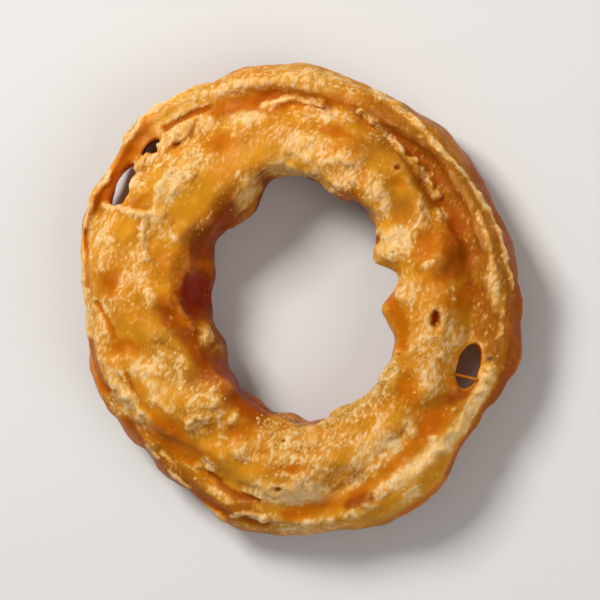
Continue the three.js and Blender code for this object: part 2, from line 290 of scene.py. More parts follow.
# What comes later lies over what comes earlier.
FEATURES: tuple[Patch | Band, ...] = (
    # The wide areas first: the groove inside the lip, the lip itself and the yellow crown.
    Patch(GOLDEN, -25, 3, 20, 11, 85),
    Patch(WINDOW, -17, 14, 16, 8, 55),
    Patch(GOLDEN, -3, 22, 16, 7, 0),
    # The upper right of the crown is laid darker: painted shade, as the light falls off to the right.
    Patch(TAN, 12, 18, 12, 7, -50),
    Patch(GOLDEN, 18, -5, 13, 9, 85),
    Patch(GOLDEN, 8, -21, 16, 7, 32),
    Patch(WINDOW, -18.5, -9, 14, 8, -60),
    Patch(WINDOW, -9, -23, 11, 7, -20),
    Patch(GOLDEN, -1, -21, 11, 9, 0),
    Band(AMBER, ((-12, 27), (-6, 28.3), (1, 27.8)), 3.2),
    Band(AMBER, ((2, 27.8), (5, 28), (8, 26.8)), 1.8),
    Band(BROWN, ((8.6, 26.4), (12, 24.6), (15.5, 21.5), (18.6, 17.3)), 3.2, -0.2),
    Band(BROWN, ((17.5, 18), (20.6, 12.5), (21.6, 7.5), (21.4, 3.5)), 5.4, -0.3),
    # A lighter band in the groove at the right: painted light against the shade that the groove gets.
    Band(WINDOW, ((22.6, 2), (22.8, -3), (22.4, -7)), 2.8),
    Band(BROWN, ((24.4, 1), (24.9, -2.6), (25.2, -5.4)), 1.9, -0.2),
    Band(AMBER, ((22.5, -12.5), (20, -15.5), (17.5, -17.5)), 4.6),
    Band(AMBER, ((17, -19.5), (14, -22.6), (10.5, -25.4), (7.6, -27.4)), 2.2),
    Band(AMBER, ((6, -28.5), (2, -29.4), (-2, -29.8)), 2),
    Band(GOLDEN, ((-19, 26.6), (-14, 29), (-8, 30.6), (0, 31), (6, 30), (11, 27.6)), 4),
    Band(GOLDEN, ((14, 25.6), (19, 20.5), (24, 13), (26.4, 5), (26.6, -3), (26.2, -10)), 4.2),
    Band(WINDOW, ((26, -11), (22.5, -17.5), (17.5, -23), (11, -27.8), (4, -31)), 5),
    Band(AMBER, ((-28.6, -10), (-25.6, -16.6), (-21, -22.6), (-16, -27), (-11, -30.6)), 3.4),
    Band(BROWN, ((-23.6, -16.8), (-20, -22), (-16, -25.8), (-11, -29.2), (-5, -31)), 2.4),
    Band(AMBER, ((-20, -17.6), (-17, -20.8), (-13.6, -22.8)), 4, -0.1),
    # The inner wall, its browns and rust laid on as painted shade, with a dark pocket that a film of golden
    # batter surrounds.
    Band(BROWN, ((-14.6, 8.2), (-15.8, 5.2), (-16, 0)), 3.6),
    Band(TAN, ((-9.6, 14.6), (-12.6, 11.4), (-14.6, 8.6)), 3.6),
    Band(RUST, ((-8.6, 13.4), (-11.8, 9.6), (-13.2, 7), (-13.2, 3), (-13.6, -1)), 3.6),
    Band(RUST, ((-15.8, 0), (-14.8, -4.6), (-12.4, -9), (-9.6, -12.8), (-6, -16)), 3.6),
    Band(BROWN, ((-17.6, -1), (-17.2, -3.8), (-14.8, -5.8), (-13.6, -9.4), (-12.2, -11.4)), 2.8),
    Band(AMBER, ((-16, 5), (-12.4, 4.9)), 1.3),
    Band(AMBER, ((-16.6, 3.4), (-17.2, 0.4), (-16.4, -2.4), (-14.6, -3.6), (-12.4, -3.2)), 1.3, 0.2),
    Patch(DARK, -14.3, 0.8, 5.2, 5, 80, -0.4),
    Patch(DARK, -14.3, 0.7, 4.6, 4.4, 60, -0.2),
    Patch(DARK, -14, 1.4, 4.2, 4, 20, -0.1),
    Patch(PALE, -7.6, 14.8, 4.6, 2.2, 60, 0.3),
    Patch(TAN, -12.8, -5.6, 4.4, 2.6, -60, 0.4),
    Patch(CRUST, -13.4, -5.2, 2.6, 1.6, -70, 0.2),
    # Upper left: the torn strip, the film beside it and the rolled crust.
    Band(AMBER, ((-22, 24.4), (-23.4, 22), (-24.6, 20.2), (-26, 17.8), (-27.6, 15.2)), 2.6),
    Band(AMBER, ((-27.4, 15.4), (-29, 14.4)), 1.8),
    Band(CRUST, ((-22.4, 25.2), (-24.2, 23), (-25.8, 20.8), (-26.9, 19.2), (-27.4, 17.2)), 1.1, 0.22),
    Band(CRUST, ((-27.4, 17), (-28.5, 16.1), (-29.6, 14.9), (-29.8, 12.8)), 1.2, 0.25),
    Patch(AMBER, -21.1, 23.2, 2.6, 2, 40),
    Patch(PALE, -17.1, 26.2, 9, 3, 36),
    Patch(WINDOW, -18.2, 26.4, 2.4, 1.1, 40),
    Band(PALE, ((-22.3, 25.3), (-20, 27.2), (-16.8, 29.2), (-13, 30.6)), 0.9, 0.3),
    Band(AMBER, ((-19, 24), (-17, 25.2), (-15.2, 26.2), (-12.8, 27)), 0.7, -0.5),
    Band(CRUST, ((-22.4, 18.8), (-20.6, 20.4), (-18.4, 22.2), (-16, 24)), 1.7, 0.5),
    Patch(PALE, -17.3, 23, 4, 1.3, 38, 0.3),
    Patch(CRUST, -23.2, 16.4, 3.2, 2.4, 10, 0.5),
    Patch(AMBER, -22, 13.6, 3.6, 2.4, 20, -0.4),
    Band(CRUST, ((-27.4, 13.2), (-25, 12.7), (-22, 12)), 1, 0.4),
    # The left side.
    Band(PALE, ((-29.4, 11.4), (-30.4, 6), (-30.4, 0), (-29.6, -5)), 1.6),
    Patch(CRUST, -27.2, 9, 8, 4, 80, 0.1),
    Patch(WINDOW, -24.6, 9.6, 4, 2.6, 60),
    Patch(AMBER, -26.6, 2.4, 3.8, 2.6, 80, -0.3),
    Patch(CRUST, -27.8, -3.6, 9, 3.4, -80, 0.1),
    Patch(CRUST, -23.4, 2.6, 7, 3, 65, 0.1),
    Patch(CRUST, -22.6, 6.6, 5, 2.4, 75, 0.2),
    Band(CRUST, ((-21.4, 11.8), (-22.2, 8.8), (-21.2, 5.6)), 0.9, 0.3),
    Patch(WINDOW, -24.6, -4.4, 4.4, 2.6, -50),
    Patch(AMBER, -24.4, -6.7, 4.8, 2.2, -10, -0.2),
    Band(AMBER, ((-28.4, -0.4), (-26.8, -3.2), (-25.8, -5.4)), 0.7, -0.2),
    Band(AMBER, ((-30.2, 9.6), (-30, 6), (-29.9, 2)), 0.8, -0.2),
    Band(BROWN, ((-29.6, -5.8), (-28.7, -9.4), (-27, -13)), 1, -0.2),
    Patch(PALE, -26.3, -11, 5.6, 1.6, -58, 0.3),
    Band(AMBER, ((-24.5, -10), (-23.4, -12.5), (-22.3, -14.8)), 0.7, -0.2),
    Patch(PALE, -24.2, -14.2, 5, 2.6, -55, 0.2),
    Patch(STRAW, -26.2, -14.8, 3.6, 1.6, -58),
    Patch(CRUST, -22.8, -9.4, 4.6, 2.2, -60, 0.2),
    # The upper left crown, from the rim of the hole outwards.
    Patch(CRUST, -15.4, 18.8, 8, 4.8, 50, 0.3),
    Patch(CRUST, -18.9, 15, 4, 2.4, 60, 0.2),
    Patch(CRUST, -19, 13.4, 12, 4.2, 66, 0.1),
    Patch(PALE, -18.4, 15.6, 6, 2.6, 62, 0.1),
    Patch(WINDOW, -14.6, 13.8, 9, 3.4, 50, -0.1),
    Patch(WINDOW, -21.6, 13.6, 2.4, 1.8, 60),
    Patch(PALE, -19.7, 12.2, 1.8, 1.5, 0, 0.2),
    Patch(CRUST, -18.4, 9.4, 4, 2.6, 90, 0.2),
    Patch(AMBER, -11.4, 22, 4.2, 3, 10, -0.4),
    Patch(PALE, -12.9, 24.7, 2.4, 1.5, 25, 0.3),
    Patch(WINDOW, -6.4, 20.2, 6.4, 3.6, 10),
    Patch(TAN, -17.2, 4.4, 3.8, 1.8, 70),
    Patch(WINDOW, -19.6, 1.8, 2.4, 3, 60),
    Patch(AMBER, -19.2, -0.6, 3, 2, 20, -0.1),
    Patch(BROWN, -18.4, -2.2, 3.2, 2, -70, -0.3),
    Patch(AMBER, -18.9, -6.6, 3.8, 1.4, -25, -0.25),
    Patch(CRUST, -21.2, 1.6, 2.4, 5, 10, 0.2),
    # The top.
    Patch(PALE, -7.6, 25.3, 6.4, 2, 12, 0.4),
    Patch(AMBER, -6.6, 28.1, 7, 2, 5, -0.4),
    Patch(PALE, 0.4, 21, 6.6, 3.8, 10, 0.3),
    Patch(CRUST, 1.6, 30.6, 9, 3.6, -5, 0.2),
    Patch(CRUST, -7.8, 29.7, 9, 2.4, 12, 0.1),
    Patch(CRUST, 3.2, 25.6, 8.6, 2.8, -8, 0.3),
    Patch(AMBER, 4.8, 23.4, 5, 1.6, -15, -0.2),
    # A pale patch where the crown turns down at the top of the hole: painted light on that slope.
    Patch(PALE, -0.8, 18.4, 8, 2.6, -5, 0.2),
    Patch(WINDOW, 0.2, 18.8, 3, 1, -10),
    Band(PALE, ((-5, 27.2), (-1, 28.3), (3, 27.4)), 1.1, 0.4),
    # The upper right.
    Patch(CRUST, 5.8, 18, 6.4, 4.4, -65, 0.4),
    Patch(AMBER, 6.6, 14.4, 3.6, 1.4, 5, -0.1),
    Patch(CRUST, 10.4, 15, 8, 3, -72, 0.2),
    Patch(WINDOW, 11.4, 19.2, 4.6, 3.2, -40),
    Patch(WINDOW, 14.2, 15.6, 5, 3.4, -55),
    Patch(AMBER, 13.4, 16.4, 2, 1.6, 0, -0.2),
    Band(STRAW, ((8.2, 26.2), (10.6, 24.4), (12.8, 22.3), (14.4, 20.4), (15.4, 19)), 0.9, 0.5),
    Band(CRUST, ((15.7, 18.9), (17.5, 16.9), (18.8, 14.7)), 1.3, 0.5),
    Patch(GOLDEN, 19, 11, 3.4, 2.4, -60),
    Patch(CRUST, 19.8, 12, 2.4, 1.6, -30, 0.3),
    Patch(CRUST, 16.6, 12.4, 4.2, 2.6, -75, 0.3),
    Patch(PALE, 12.6, 7.8, 5.4, 4.2, 30, 0.3),
    Patch(CREAM, 12.8, 8.4, 3.6, 2.6, 30, 0.1),
    Patch(WINDOW, 12.8, 4.8, 4, 1.4, 0),
    Patch(AMBER, 17.2, 7.6, 4, 3, 75, -0.4),
    Patch(CRUST, 17.2, 4.8, 2, 1, 30, 0.2),
    # The lip from the top round the right side to the bottom.
    # The lip at the upper right is laid darker: painted shade, as the light falls off to the right.
    Band(TAN, ((12, 27.2), (16, 23.8), (20, 19.2), (24, 12.8), (26.2, 6), (26.6, -4)), 4.8),
    Band(CRUST, ((10.5, 28.8), (13.5, 26.8), (16.4, 24.2), (18.4, 21.8)), 1.1, 0.3),
    # The outer wall at the right, in brown: painted shade, as it faces away from the key light.
    Band(BROWN, ((24.4, 18), (27.4, 12.4), (29.2, 6.6), (30, 0.6), (29.9, -6), (28.4, -12)), 2.8),
    Band(CREAM, ((18.4, 21.8), (20.8, 19.4), (23.2, 16.6), (25.6, 13), (27.2, 9.6), (28.4, 5.6)), 0.55, 0.3),
    Band(PALE, ((28, 6), (28.9, 3.6), (29.2, 1.6)), 0.5, 0.25),
    Band(GOLDEN, ((24.6, 12), (25.4, 9.4), (25.9, 7.6), (26.4, 4.4)), 0.8, 0.15),
    Band(TAN, ((27, -1.8), (26.6, -4.4), (27, -8.4)), 2),
    Patch(PALE, 26.5, 1.6, 5.6, 1.8, -80, 0.05),
    Band(GOLDEN, ((27.9, 1), (27.8, -3), (27.5, -4.6)), 0.7, 0.2),
    Patch(TAN, 25.8, -7.4, 3.8, 1.1, 88, 0.1),
    Band(PALE, ((26.2, -9.6), (26, -11), (24.4, -14), (22.2, -17.2), (19.8, -20.2)), 2, 0.2),
    Band(GOLDEN, ((26.4, -13), (23.4, -18.8), (20.4, -23)), 2.4),
    Band(WINDOW, ((20, -23.4), (17.4, -26.2), (14, -28.6)), 2.6),
    # The outer edge at the lower right, in brown: painted shade on the wall that faces away from the light.
    Band(BROWN, ((29.2, -9), (27.2, -13), (24.6, -17.2), (22.6, -20.8), (20.6, -24.2)), 1.6),
    Patch(PALE, 15.2, -26.9, 5, 2, 41),
    Band(AMBER, ((20.2, -24.8), (17.6, -27.4), (14, -29.8)), 0.9),
    Band(BROWN, ((24, -11.4), (22.6, -12.9), (21, -13.8)), 1.9, -0.1),
    Band(CREAM, ((25.6, -10.8), (24.8, -13), (23.6, -15), (21.6, -17.8), (19.6, -20)), 1.8, 0.25),
    Band(CREAM, ((18.8, -20.6), (16.4, -23), (13.8, -24.8)), 2.3, 0.25),
    Band(CREAM, ((13.4, -25.4), (10.6, -27.4), (8, -29.2)), 2, 0.2),
    Band(CRUST, ((11.6, -26.6), (8.6, -29), (5, -30.8), (0, -31.8)), 2.4, 0.15),
    Patch(WINDOW, 18.2, -24, 4.4, 2.2, 48),
    Patch(WINDOW, 12.6, -27.6, 3.4, 1.6, 35),
    # The right side.
    Patch(CRUST, 15.2, 1.4, 5, 3.6, 10, 0.2),
    Patch(AMBER, 21.4, 0.8, 4.8, 4.4, 90),
    Patch(CRUST, 22.6, -5, 3.2, 1.6, 88),
    Patch(GOLDEN, 20.6, 1.4, 3.4, 2.2, 30),
    Patch(CREAM, 21.2, 0.2, 0.8, 0.8, 0, 0.3),
    Band(AMBER, ((12.2, 0.6), (13, -1.4), (14, -3.6), (13.9, -6)), 1.9, -0.2),
    Patch(CRUST, 17.6, -5.6, 8, 4.2, 78, 0.15),
    Patch(CRUST, 20.6, -5.4, 6, 2.6, 80, 0.1),
    Patch(CRUST, 18.2, -11, 5, 3.6, 40, 0.1),
    Patch(AMBER, 14.6, -12.2, 5.2, 2.8, 112, -0.2),
    Patch(AMBER, 18.4, -16.6, 4.6, 3.8, 45),
    Patch(CREAM, 18.5, -18.9, 1.2, 0.9, 0, 0.3),
    Patch(CREAM, 21.3, -15.1, 0.9, 0.8, 0, 0.2),
    # The lower right and the bottom.
    Band(STRAW, ((4, -17), (7.4, -15.2), (10.6, -12.6), (12.6, -9.6)), 2.8, 0.3),
    Patch(CRUST, 8.6, -18.6, 11, 4.4, 30, 0.1),
    Patch(PALE, 9.6, -20.6, 7, 2.8, 38, 0.1),
    Patch(WINDOW, 12.8, -16.6, 3.4, 2, 40),
    Patch(WINDOW, 5.6, -21.6, 3.4, 2.2, 30),
    Patch(WINDOW, 9.2, -17.2, 2.4, 1.4, 30),
    Patch(PALE, 15.2, -17.6, 2.6, 1.4, 110, 0.1),
    Patch(PALE, 13.2, -20.4, 3.6, 1.8, 58, 0.12),
    Patch(CRUST, 10.4, -23.2, 4, 2, 46, 0.12),
    Patch(CRUST, 7.2, -25.8, 3.8, 1.8, 36, 0.15),
    Patch(AMBER, 3.2, -28, 4.6, 2.6, 0, -0.1),
    Patch(AMBER, 7.8, -27.4, 2.8, 1.8, 20, -0.1),
    Patch(CRUST, -0.6, -20.4, 9, 5, 0, 0.3),
    Patch(CRUST, 1, -24.6, 7, 3.2, 0, 0.2),
    # A cream patch on the crown's lower slope: painted light on a slope that faces away from the key light.
    Patch(CREAM, -0.6, -26.9, 10, 2.8, 0, 0.2),
    Patch(PALE, -5, -26.4, 4.8, 3, -10, 0.1),
    Band(BROWN, ((9.6, -27.2), (6.6, -28.5)), 1.3),
    Patch(CRUST, -4, -30.4, 3.2, 1.4, 0, 0.05),
    Patch(AMBER, -1.4, -23.4, 3.4, 1.2, 0, -0.2),
    # The lower left: clumps, and the folds of skin outside them.
    Patch(STRAW, -17.4, -9.6, 10, 4.4, -56, 0.05),
    Patch(PALE, -20.4, -11.6, 6, 2.8, -56, 0.05),
    Patch(TAN, -14.4, -11.6, 4.4, 2.2, -56),
    Patch(CRUST, -13.4, -14.6, 6, 4, 60, 0.6),
    Patch(CRUST, -14.4, -17.6, 3.4, 2.2, -70, 0.4),
    Patch(CRUST, -7.4, -21.2, 3.8, 3.4, 0, 0.3),
    Patch(AMBER, -8.4, -18.2, 4, 2.4, 0, -0.3),
    Patch(PALE, -9.3, -16.3, 2.2, 1, 70, 0.3),
    Patch(CRUST, -18.6, -14.6, 5.4, 2.2, -35, 0.2),
    Patch(CRUST, -20.4, -9, 4.6, 3.2, 20, 0.05),
    Patch(AMBER, -18.2, -18.8, 4.2, 3.6, -45, -0.1),
    Patch(CRUST, -21.6, -16.6, 2.6, 1.6, -50, 0.3),
    Band(GOLDEN, ((-23.4, -16.2), (-22, -18.6), (-20.4, -20.4)), 1.2, 0.2),
    Band(TAN, ((-21, -20.4), (-18.8, -22.4), (-16.2, -24.6), (-13.6, -26.6), (-7.4, -28.7)), 2.2),
    Band(PALE, ((-21.4, -20.6), (-20, -22.2)), 0.5, 0.1),
    Band(PALE, ((-19.4, -21.4), (-17.4, -23.2)), 0.5, 0.1),
    Band(PALE, ((-18.4, -23.8), (-15.6, -26.4)), 0.5, 0.1),
    Band(PALE, ((-16.2, -22.8), (-14.4, -24)), 0.6, 0.1),
    Patch(PALE, -12.2, -26.7, 3.8, 1.1, -38, 0.1),
    Patch(CRUST, -10.6, -27.6, 2.6, 1.1, -28, 0.1),
    Band(CRUST, ((-14.4, -23.2), (-13, -22.2), (-12, -23.6)), 1.2, 0.15),
    Band(BROWN, ((-12.2, -24.4), (-10.8, -26), (-8.6, -27.3), (-5.8, -27.9)), 1, -0.3),
    Band(CRUST, ((-13.6, -29), (-10.6, -30.8)), 1, 0.2),
    Band(PALE, ((-9.4, -30.3), (-7.4, -29.8), (-5, -30.6)), 0.8, 0.3),
    Patch(CRUST, -24.7, -15.4, 1.6, 1.3, 0, 0.3),
    # Pits and specks.
    Patch(BROWN, 18.6, -2.6, 2, 1, 95, -0.7),
    Patch(DARK, 18.5, -2.4, 1.1, 0.5, 95, -0.4),
    Patch(DARK, 13.4, 18.3, 0.7, 0.6, 0, -0.5),
    Patch(BROWN, -2.2, -19.5, 0.9, 0.6, 10, -0.7),
    Patch(BROWN, -3.2, -26.3, 0.9, 0.6, 0, -0.6),
    Patch(BROWN, -11, -25.3, 0.8, 0.6, 0, -0.5),
    Patch(DARK, 13.6, -7.4, 0.9, 0.7, 20, -0.6),
    Patch(BROWN, 10.6, 8.2, 1.2, 0.9, 80, -0.5),
    Patch(SQUID_SKIN, 26.1, -8.35, 0.9, 0.8, 0, -0.1),
    Patch(DARK, 25.6, -7.1, 0.5, 0.5),
    Patch(BROWN, 26.8, -7.5, 0.5, 0.4),
    Patch(BROWN, 25.6, -9.7, 0.6, 0.5),
)

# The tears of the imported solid: one at the right and two at the upper left.
TEARS = (Tear(24, -9.3, 4), Tear(-25, 15.9, 4.2), Tear(-20.9, 21.2, 2.6))

# Valleys that the batter has run into, which makes them shallow.
FILLED: tuple[Band, ...] = (
    Band(AMBER, ((-22.8, -15.4), (-20.2, -18.4), (-17.4, -21), (-13.8, -23.4)), 5.4),
    Band(AMBER, ((20.6, -12.4), (17.8, -16.2), (14.8, -19.4), (11.2, -23.2)), 4.4),
    Band(AMBER, ((-6, -26.8), (-1, -27.4), (3, -27.2)), 3),
)

# Where round beads of batter stand on the crust, and how densely. Most are along the hole's lower rim.
LOWER_RIM = ((-5.6, -17), (-1, -18.2), (4, -16.8), (8, -14.4), (11, -11.4), (12.8, -8.6))
BEADED: tuple[tuple[Patch | Band, float], ...] = (
    (Band(CRUST, LOWER_RIM, 1.8), 1),
    (Patch(CRUST, -1, -21.4, 9, 8), 0.35),
    (Patch(CRUST, -13.6, -15, 6, 4, 60), 0.35),
    (Patch(CRUST, -7.4, -21.2, 3.8, 3.4), 0.3),
    (Patch(CRUST, -15.4, 18.8, 8, 4.8, 50), 0.2),
    (Patch(CRUST, -17.6, 26.6, 8.6, 2.4, 36), 0.3),
    (Patch(CRUST, 7, 15.4, 6, 3, -60), 0.3),
    (Patch(CRUST, 12.6, 6.4, 5.4, 3, 30), 0.3),
    (Patch(CRUST, 2, 30.4, 12, 3), 0.15),
    (Patch(CRUST, 17.6, -7, 9, 6, 80), 0.15),
)


@dataclass(frozen=True)
class LookDown:
    """How one looks down on the ring: with a long lens, leaning a little to the right."""

    lean: float = 11.0
    middle: float = 0.18
    level: float = 7.0
    distance: float = 500.0
    frame_width: float = 84.0
    sensor: float = 36.0

    def back(self) -> Vector:
        """The direction from the ring to the eye."""
        return Vector((math.sin(math.radians(self.lean)), 0, math.cos(math.radians(self.lean))))

    def seen(self, points: Points) -> Points:
        """Finds where points lie as one looks down.

        Args:
            points: Places in the ring's own frame.

        Returns:
            How far right of the ring's middle and up from it each one is seen.
        """
        lean = math.radians(self.lean)
        across, above = points[:, 0] - self.middle, points[:, 2] - self.level
        right = across * math.cos(lean) - above * math.sin(lean)
        return np.column_stack((right, points[:, 1]))

    def build(self) -> None:
        """Places the scene's camera."""
        back = self.back()
        right = Vector((back.z, 0, -back.x))
        up = back.cross(right)
        place = Vector((self.middle, 0, self.level)) + back * self.distance
        bpy.ops.object.camera_add()
        camera = bpy.context.object
        camera.name = "photo_camera"
        turned = Matrix((right, up, back)).transposed().to_4x4()
        camera.matrix_world = Matrix.Translation(place * MM) @ turned
        camera.data.sensor_width = self.sensor
        camera.data.lens = self.sensor * self.distance / self.frame_width
        bpy.context.scene.camera = camera


def per_metre(size: float) -> float:
    """How many times a size in millimetres goes into a metre, which is how a texture's scale counts."""
    return 1 / (size * MM)


def add_node(
    tree: NodeTree, kind: str, out: int | str, links: dict[int | str, Any], **settings: Any
) -> Socket:
    """Adds one shader node with its settings and links.

    Args:
        tree: The material's nodes.
        kind: The node's type name, after the word ShaderNode.
        out: The output to hand back.
        links: For each input, a value or the socket that feeds it.
        **settings: The node's own properties.

    Returns:
        The chosen output.
    """
    node = tree.nodes.new(f"ShaderNode{kind}")
    for name, value in settings.items():
        setattr(node, name, value)
    for name, value in links.items():
        if isinstance(value, Socket):
            tree.links.new(value, node.inputs[name])
        else:
            node.inputs[name].default_value = value
    return node.outputs[out]


@dataclass(frozen=True)
class FriedBatter:
    """Deep-fried wheat batter: translucent thin batter under a dry pale crust.

    The tint, the crust and the hollows are traits of the mesh; the tint holds painted shade on the sides and
    the inner wall, and the hollows are darkened with painted shade. The material adds what is finer than
    the mesh: rice-like grains of crust, 0.3 to 1 mm long, with their own relief and a pale colour that is
    partly dry crust and partly painted glints. Light sinks about a millimetre into the batter, so its thin
    parts glow, and the oil that it has soaked up gives no more than a weak, broad shine.
    """

    name: str = "deep_fried_batter"
    # The grains' pale colour: partly dry crust, partly painted glints.
    grain_crust_and_glint_colour: str = "#F2D8A8"
    halo_colour: str = "#EAAA42"
    # Painted shade that darkens the hollows.
    hollow_shade_colour: str = "#A04000"
    grain_size: float = 0.38
    bead_size: float = 0.5
    curl_size: float = 1.1
    cluster_size: float = 1.8
    mottle_size: float = 2.4
    wander_size: float = 2.5
    wander: float = 1.4
    grain_turn: float = 65.0
    grain_stretch: float = 1.9
    grain_relief: float = 0.14
    sparse_and_dense_level: tuple[float, float] = (0.9, 0.42)
    grain_edge: tuple[float, float] = (-0.16, 0.22)
    halo_edge: tuple[float, float] = (-0.34, 0.1)
    pale_share: float = 0.64
    thin_roughness: float = 0.38
    crust_roughness: float = 0.55
    refraction: float = 1.46
    shine: float = 0.07
    translucence: float = 0.5
    light_depth: float = 1.0

    def _slanted(self, add: AddNode, place: Socket) -> Socket:
        """Turns and stretches space, so that the grains lie slanting and wander a little from that.

        Args:
            add: Adds a node.
            place: Where each point is.

        Returns:
            Where each point is in the stretched space.
        """
        links = {"Vector": place, "Scale": per_metre(self.wander_size), "Detail": 1.0}
        wander = add("TexNoise", "Color", links)
        shift = add("VectorMath", 0, {0: wander, 1: (self.wander * MM,) * 3}, operation="MULTIPLY")
        moved = add("VectorMath", 0, {0: place, 1: shift}, operation="ADD")
        turn = (0, 0, math.radians(self.grain_turn))
        links = {"Vector": moved, "Rotation": turn, "Scale": (self.grain_stretch, 1, 1)}
        return add("Mapping", 0, links, vector_type="TEXTURE")

    def _grain(self, add: AddNode, slanted: Socket) -> Socket:
        """Draws the grains, which are like rice, with round beads and curled threads among them.

        Args:
            add: Adds a node.
            slanted: Where each point is in the stretched space.

        Returns:
            The grains' height, from about 0 to 1.
        """
        links = {"Vector": slanted, "Scale": per_metre(self.grain_size), "Detail": 3, "Roughness": 0.55}
        rice = add("TexNoise", "Fac", links)
        links = {"Vector": slanted, "Scale": per_metre(self.bead_size), "Randomness": 1.0}
        cells = add("TexVoronoi", "Distance", links)
        beads = add("MapRange", 0, {0: cells, 1: 0.8, 2: 0.0}, interpolation_type="SMOOTHSTEP")
        links = {"Vector": slanted, "Scale": per_metre(self.curl_size), "Detail": 1.0}
        curls = add("TexNoise", "Fac", links)
        offset = add("Math", 0, {0: curls, 1: 0.5}, operation="SUBTRACT")
        offset = add("Math", 0, {0: offset}, operation="ABSOLUTE")
        threads = add("MapRange", 0, {0: offset, 1: 0.16, 2: 0.0}, interpolation_type="SMOOTHSTEP")
        grain = add("Math", 0, {0: threads, 1: 0.12}, operation="MULTIPLY")
        grain = add("Math", 0, {0: beads, 1: 0.28, 2: grain}, operation="MULTIPLY_ADD")
        return add("Math", 0, {0: rice, 1: 0.6, 2: grain}, operation="MULTIPLY_ADD")

    def _colour(self, add: AddNode, place: Socket, hollow: Socket, above: Socket, mask: Socket) -> Socket:
        """Colours the batter: the mesh's tint, with painted shade in hollows, yellower round the grains, and
        pale on them, partly dry crust and partly painted glints.

        Args:
            add: Adds a node.
            place: Where each point is.
            hollow: How deep in a hollow each point lies.
            above: How far the crust stands above the thin batter.
            mask: Where the grains show.

        Returns:
            The colour.
        """
        tint = add("Attribute", "Color", {}, attribute_name="tint")
        links = {"Vector": place, "Scale": per_metre(self.mottle_size), "Detail": 3.0}
        mottle = add("TexNoise", "Fac", links)
        shade = add("MapRange", 0, {0: mottle, 1: 0.3, 2: 0.7, 3: 0.88, 4: 1.1})
        colour = add("VectorMath", 0, {0: tint, 1: shade}, operation="MULTIPLY")
        # Painted shade in the hollows.
        deep = add("Math", 0, {0: hollow, 1: 0.5}, operation="MULTIPLY")
        links = {0: above, 1: self.halo_edge[0], 2: self.halo_edge[1], 4: 0.5}
        halo = add("MapRange", 0, links, interpolation_type="SMOOTHSTEP")
        # Pale grains: partly dry crust, partly painted glints.
        pale = add("Math", 0, {0: mask, 1: self.pale_share}, operation="MULTIPLY")
        for share, hue in ((deep, self.hollow_shade_colour), (halo, self.halo_colour), (pale, self.grain_crust_and_glint_colour)):
            colour = add("Mix", 2, {0: share, 6: colour, 7: linear(hue)}, data_type="RGBA")
        return colour

    def build(self) -> Material:
        """Makes the material.

        Returns:
            The finished material.
        """
        material = bpy.data.materials.new(self.name)
        material.use_nodes = True
        tree = material.node_tree
        tree.nodes.clear()
        add = partial(add_node, tree)
        place = add("TexCoord", "Object", {})
        crust = add("Attribute", "Fac", {}, attribute_name="crust")
        hollow = add("Attribute", "Fac", {}, attribute_name="hollow")
        slanted = self._slanted(add, place)
        grain = self._grain(add, slanted)
        # The grains stand out of the thin batter in clusters, and more of them where the crust is dense.
        links = {"Vector": slanted, "Scale": per_metre(self.cluster_size), "Detail": 2.0}
        cluster = add("TexNoise", "Fac", links)
        sparse, dense = self.sparse_and_dense_level
        level = add("MapRange", 0, {0: crust, 3: sparse, 4: dense})
        above = add("Math", 0, {0: cluster, 1: 0.6, 2: grain}, operation="MULTIPLY_ADD")
        above = add("Math", 0, {0: above, 1: 0.3}, operation="SUBTRACT")
        above = add("Math", 0, {0: above, 1: level}, operation="SUBTRACT")
        links = {0: above, 1: self.grain_edge[0], 2: self.grain_edge[1]}
        mask = add("MapRange", 0, links, interpolation_type="SMOOTHSTEP")
        lift = add("MapRange", 0, {0: crust, 3: 0.15, 4: 1.0})
        height = add("Math", 0, {0: grain, 1: lift}, operation="MULTIPLY")
        links = {"Height": height, "Strength": 1, "Distance": self.grain_relief * MM}
        bump = add("Bump", 0, links)
        rough = add("MapRange", 0, {0: mask, 3: self.thin_roughness, 4: self.crust_roughness})
        rough = add("Math", 0, {0: hollow, 1: 0.3, 2: rough}, operation="MULTIPLY_ADD")
        links = {
            "Base Color": self._colour(add, place, hollow, above, mask),
            "Roughness": rough,
            "IOR": self.refraction,
            "Specular IOR Level": self.shine,
            "Normal": bump,
            "Subsurface Weight": self.translucence,
            "Subsurface Radius": (1, 0.5, 0.2),
            "Subsurface Scale": self.light_depth * MM,
        }
        surface = add("BsdfPrincipled", 0, links)
        output = tree.nodes.new("ShaderNodeOutputMaterial")
        tree.links.new(surface, output.inputs["Surface"])
        return material


def rows(items: Any, trait: str, width: int, kind: type = float) -> np.ndarray:
    """Reads one trait of all the vertices or edges of a mesh.

    Args:
        items: The vertices, the edges, or the data of an attribute.
        trait: The trait's name.
        width: How many numbers it has.
        kind: Their type.

    Returns:
        A row of numbers for each vertex or edge.
    """
    values = np.empty(len(items) * width, kind)
    items.foreach_get(trait, values)
    return values.reshape(-1, width)


